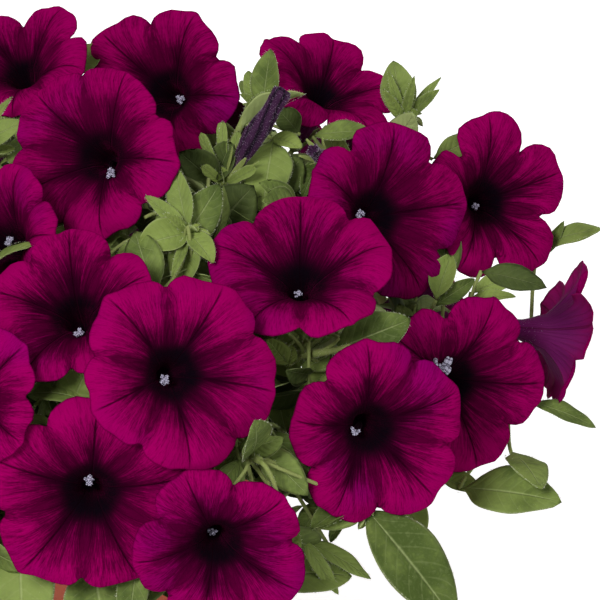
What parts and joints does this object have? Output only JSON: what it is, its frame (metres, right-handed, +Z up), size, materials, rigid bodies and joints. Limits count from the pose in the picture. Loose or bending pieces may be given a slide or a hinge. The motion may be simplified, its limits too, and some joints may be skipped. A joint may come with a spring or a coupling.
{
  "type": "potted petunia",
  "caption": "Petunia in full bloom in a round tapered plastic pot: leafy stems that arch out of the potting mix and carry open trumpet blooms all round.",
  "frame": {"origin": "middle of the underside of the pot's foot, on the surface the pot stands on", "axes": "+Z up along the pot's axis; -Y towards the front of the plant; +X to the right as the front is seen"},
  "size_m": [0.3271, 0.2846, 0.2502],
  "materials": {
    "pot": "terracotta-coloured moulded plastic, slightly satin",
    "potting_mix": null,
    "petal": "velvety magenta-purple with dark veins and a near-black throat",
    "bud": "dark purple, pleated, finely hairy",
    "foliage": "matt green, finely hairy, paler at the veins and edges"
  },
  "bodies": {
    "root": {"pot": "pot", "potting_mix": "potting_mix", "bloom_01": "petal", "bloom_02": "petal", "bloom_03": "petal", "bloom_04": "petal", "bloom_05": "petal", "bloom_06": "petal", "bloom_07": "petal", "bloom_08": "petal", "bloom_09": "petal", "bloom_10": "petal", "bloom_11": "petal", "bloom_12": "petal", "bloom_13": "petal", "bloom_14": "petal", "bloom_15": "petal", "bloom_16": "petal", "bloom_17": "petal", "bloom_18": "petal", "bloom_19": "petal", "bloom_20": "petal", "bloom_21": "petal", "bloom_22": "petal", "bloom_23": "petal", "bloom_24": "petal", "bloom_25": "petal", "bloom_26": "petal", "bloom_27": "petal", "bloom_28": "petal", "bloom_29": "petal", "bud_01": "bud", "bud_02": "bud", "bud_03": "bud", "bud_04": "bud", "stem_01": "foliage", "stem_02": "foliage", "stem_03": "foliage", "stem_04": "foliage", "stem_05": "foliage", "stem_06": "foliage", "stem_07": "foliage", "stem_08": "foliage", "stem_09": "foliage", "stem_10": "foliage", "stem_11": "foliage", "stem_12": "foliage", "stem_13": "foliage", "stem_14": "foliage"}
  },
  "joints": []
}
